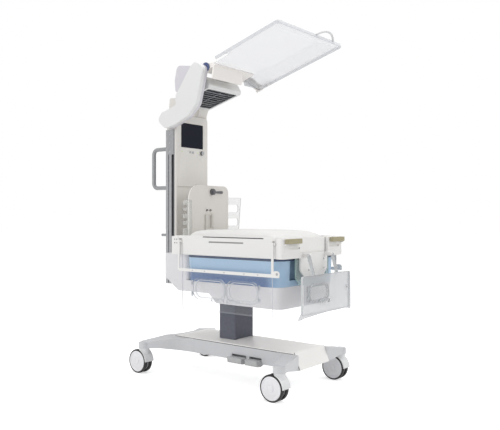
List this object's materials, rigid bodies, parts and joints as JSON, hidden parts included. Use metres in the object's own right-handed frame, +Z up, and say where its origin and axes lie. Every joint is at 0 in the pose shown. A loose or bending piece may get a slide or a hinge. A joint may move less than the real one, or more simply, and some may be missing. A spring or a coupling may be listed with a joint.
{
  "type": "infant incubator",
  "caption": "Open hybrid incubator and radiant warmer on a height-adjustable pedestal with casters, drop-down clear walls, a heater on a mast and a lifting clear canopy.",
  "frame": {"origin": "on the floor, under the middle of the whole machine and of its four caster stems", "axes": "+Z up; +X from the mast at the head end to the foot end; +Y to the right for someone who stands at the foot end and looks at the mast"},
  "size_m": [1.29, 0.7, 2.0784],
  "materials": {
    "base_grey": "satin powder coat on cast aluminium",
    "warm_white": "smooth moulded",
    "pedal_grey": "ribbed",
    "caster_tyre": "soft tread on light discs",
    "caster_white": "moulded",
    "lever_grey": "moulded",
    "column_slate": "satin paint",
    "actuator_alloy": "extruded",
    "rod_steel": "ground",
    "tub_blue": "smooth moulded",
    "tray_white": "smooth moulded",
    "mattress_cover": "wipe-clean cover on foam",
    "clear_acrylic": "clear, polished",
    "frosted_acrylic": "translucent",
    "grip_olive": "soft touch",
    "mast_alloy": "anodised",
    "screen_glass": "dark cover glass",
    "control_dark": "moulded",
    "handle_grey": "satin paint",
    "trim_grey": "moulded",
    "grille_steel": "wire-brushed",
    "heater_quartz": "smooth",
    "arm_grey": "smooth moulded"
  },
  "bodies": {
    "base": {"base_frame": "base_grey", "base_cover": "warm_white", "lift_column": "column_slate", "lift_actuator": "actuator_alloy"},
    "pedal_up": {"lift_pedal_up": "pedal_grey"},
    "pedal_down": {"lift_pedal_down": "pedal_grey"},
    "fork_foot_left": {"caster_fork_foot_left": "caster_white"},
    "wheel_foot_left": {"caster_wheel_foot_left": "caster_tyre"},
    "brake_foot_left": {"caster_brake_foot_left": "lever_grey"},
    "fork_foot_right": {"caster_fork_foot_right": "caster_white"},
    "wheel_foot_right": {"caster_wheel_foot_right": "caster_tyre"},
    "brake_foot_right": {"caster_brake_foot_right": "lever_grey"},
    "fork_head_left": {"caster_fork_head_left": "caster_white"},
    "wheel_head_left": {"caster_wheel_head_left": "caster_tyre"},
    "brake_head_left": {"caster_brake_head_left": "lever_grey"},
    "fork_head_right": {"caster_fork_head_right": "caster_white"},
    "wheel_head_right": {"caster_wheel_head_right": "caster_tyre"},
    "brake_head_right": {"caster_brake_head_right": "lever_grey"},
    "carriage": {"lift_sleeve": "column_slate", "actuator_rod": "rod_steel", "under_shell": "warm_white", "blue_tub": "tub_blue", "bed_frame": "warm_white", "corner_blocks": "warm_white", "foot_bracket": "warm_white", "foot_window": "clear_acrylic", "mast_rails": "mast_alloy", "mast_front_cover": "warm_white", "mast_rear_cover": "warm_white", "display_screen": "screen_glass", "push_handles": "handle_grey", "head_plate": "frosted_acrylic", "tubing_guides": "clear_acrylic", "probe_holder": "trim_grey", "heater_posts": "warm_white", "heater_housing": "warm_white", "heater_grille": "grille_steel", "heater_elements": "heater_quartz"},
    "tray": {"mattress_tray": "tray_white", "mattress": "mattress_cover"},
    "knob": {"control_knob": "control_dark"},
    "menu_button": {"menu_key": "trim_grey"},
    "silence_button": {"silence_key": "trim_grey"},
    "arm": {"arm_cover": "warm_white", "arm_inner_plate": "arm_grey"},
    "canopy": {"canopy_shell": "clear_acrylic", "canopy_neck": "warm_white", "canopy_grips": "trim_grey"},
    "door_left": {"side_door_left": "clear_acrylic", "door_rail_left": "warm_white"},
    "port_left_head": {"port_door_left_head": "clear_acrylic"},
    "port_left_foot": {"port_door_left_foot": "clear_acrylic"},
    "grip_left": {"release_grip_left": "grip_olive"},
    "door_right": {"side_door_right": "clear_acrylic", "door_rail_right": "warm_white"},
    "port_right_head": {"port_door_right_head": "clear_acrylic"},
    "port_right_foot": {"port_door_right_foot": "clear_acrylic"},
    "grip_right": {"release_grip_right": "grip_olive"},
    "foot_door": {"foot_door": "clear_acrylic"},
    "foot_port": {"foot_port_door": "clear_acrylic"}
  },
  "joints": [
    {"name": "pedal_up_hinge", "type": "hinge", "parent": "base", "child": "pedal_up", "pos_m": [0.114, -0.12, 0.15], "axis": [1, 0, 0], "range_deg": [0, 9], "stiffness_Nm_per_rad": 8, "springref_deg": -8.59},
    {"name": "pedal_down_hinge", "type": "hinge", "parent": "base", "child": "pedal_down", "pos_m": [0.238, -0.12, 0.15], "axis": [1, 0, 0], "range_deg": [0, 9], "stiffness_Nm_per_rad": 8, "springref_deg": -8.59},
    {"name": "swivel_foot_left", "type": "hinge", "parent": "base", "child": "fork_foot_left", "pos_m": [0.53, -0.313, 0.16], "axis": [0, 0, 1], "continuous": true},
    {"name": "wheel_spin_foot_left", "type": "hinge", "parent": "fork_foot_left", "child": "wheel_foot_left", "pos_m": [0.495, -0.313, 0.075], "axis": [0, 1, 0], "continuous": true},
    {"name": "brake_tip_foot_left", "type": "hinge", "parent": "fork_foot_left", "child": "brake_foot_left", "pos_m": [0.469, -0.313, 0.087], "axis": [0, -1, 0], "range_deg": [0, 8]},
    {"name": "swivel_foot_right", "type": "hinge", "parent": "base", "child": "fork_foot_right", "pos_m": [0.53, 0.313, 0.16], "axis": [0, 0, 1], "continuous": true},
    {"name": "wheel_spin_foot_right", "type": "hinge", "parent": "fork_foot_right", "child": "wheel_foot_right", "pos_m": [0.495, 0.313, 0.075], "axis": [0, 1, 0], "continuous": true},
    {"name": "brake_tip_foot_right", "type": "hinge", "parent": "fork_foot_right", "child": "brake_foot_right", "pos_m": [0.469, 0.313, 0.087], "axis": [0, -1, 0], "range_deg": [0, 8]},
    {"name": "swivel_head_left", "type": "hinge", "parent": "base", "child": "fork_head_left", "pos_m": [-0.53, -0.313, 0.16], "axis": [0, 0, 1], "continuous": true},
    {"name": "wheel_spin_head_left", "type": "hinge", "parent": "fork_head_left", "child": "wheel_head_left", "pos_m": [-0.565, -0.313, 0.075], "axis": [0, 1, 0], "continuous": true},
    {"name": "brake_tip_head_left", "type": "hinge", "parent": "fork_head_left", "child": "brake_head_left", "pos_m": [-0.591, -0.313, 0.087], "axis": [0, -1, 0], "range_deg": [0, 8]},
    {"name": "swivel_head_right", "type": "hinge", "parent": "base", "child": "fork_head_right", "pos_m": [-0.53, 0.313, 0.16], "axis": [0, 0, 1], "continuous": true},
    {"name": "wheel_spin_head_right", "type": "hinge", "parent": "fork_head_right", "child": "wheel_head_right", "pos_m": [-0.565, 0.313, 0.075], "axis": [0, 1, 0], "continuous": true},
    {"name": "brake_tip_head_right", "type": "hinge", "parent": "fork_head_right", "child": "brake_head_right", "pos_m": [-0.591, 0.313, 0.087], "axis": [0, -1, 0], "range_deg": [0, 8]},
    {"name": "bed_lift", "type": "slide", "parent": "base", "child": "carriage", "axis": [0, 0, 1], "range_m": [-0.12, 0.08]},
    {"name": "tray_tilt", "type": "hinge", "parent": "carriage", "child": "tray", "pos_m": [0.478, 0, 0.812], "axis": [0, 1, 0], "range_deg": [0, 8]},
    {"name": "knob_turn", "type": "hinge", "parent": "carriage", "child": "knob", "pos_m": [-0.408, 0.089, 1.416], "axis": [1, 0, 0], "continuous": true},
    {"name": "menu_press", "type": "slide", "parent": "carriage", "child": "menu_button", "axis": [-1, 0, 0], "range_m": [0, 0.0015], "stiffness_N_per_m": 300, "springref_m": -0.001},
    {"name": "silence_press", "type": "slide", "parent": "carriage", "child": "silence_button", "axis": [-1, 0, 0], "range_m": [0, 0.0015], "stiffness_N_per_m": 300, "springref_m": -0.001},
    {"name": "arm_swing", "type": "hinge", "parent": "carriage", "child": "arm", "pos_m": [-0.455, -0.19, 1.6], "axis": [0, 1, 0], "range_deg": [0, 81]},
    {"name": "canopy_level", "type": "hinge", "parent": "arm", "child": "canopy", "pos_m": [-0.12, -0.17, 1.906], "axis": [0, 1, 0], "range_deg": [-65, 0]},
    {"name": "door_drop_left", "type": "hinge", "parent": "carriage", "child": "door_left", "pos_m": [0.14, -0.3195, 0.845], "axis": [-1, 0, 0], "range_deg": [0, 180]},
    {"name": "port_swing_left_head", "type": "hinge", "parent": "door_left", "child": "port_left_head", "pos_m": [-0.097, -0.328, 0.571], "axis": [0, 0, -1], "range_deg": [0, 100]},
    {"name": "port_swing_left_foot", "type": "hinge", "parent": "door_left", "child": "port_left_foot", "pos_m": [0.405, -0.328, 0.571], "axis": [0, 0, 1], "range_deg": [0, 100]},
    {"name": "grip_squeeze_left", "type": "hinge", "parent": "carriage", "child": "grip_left", "pos_m": [0.56, -0.288, 0.86], "axis": [0, 0, -1], "range_deg": [0, 18], "stiffness_Nm_per_rad": 1, "springref_deg": -5.73},
    {"name": "door_drop_right", "type": "hinge", "parent": "carriage", "child": "door_right", "pos_m": [0.14, 0.3195, 0.845], "axis": [1, 0, 0], "range_deg": [0, 180]},
    {"name": "port_swing_right_head", "type": "hinge", "parent": "door_right", "child": "port_right_head", "pos_m": [-0.097, 0.328, 0.571], "axis": [0, 0, 1], "range_deg": [0, 100]},
    {"name": "port_swing_right_foot", "type": "hinge", "parent": "door_right", "child": "port_right_foot", "pos_m": [0.405, 0.328, 0.571], "axis": [0, 0, -1], "range_deg": [0, 100]},
    {"name": "grip_squeeze_right", "type": "hinge", "parent": "carriage", "child": "grip_right", "pos_m": [0.56, 0.288, 0.86], "axis": [0, 0, 1], "range_deg": [0, 18], "stiffness_Nm_per_rad": 1, "springref_deg": -5.73},
    {"name": "foot_door_drop", "type": "hinge", "parent": "carriage", "child": "foot_door", "pos_m": [0.59, 0, 0.778], "axis": [0, -1, 0], "range_deg": [0, 180]},
    {"name": "foot_port_swing", "type": "hinge", "parent": "foot_door", "child": "foot_port", "pos_m": [0.633, -0.187, 0.574], "axis": [0, 0, -1], "range_deg": [0, 100]}
  ],
  "couplings": [
    {"joint": "canopy_level", "follows": "arm_swing", "ratio": -0.7963}
  ]
}
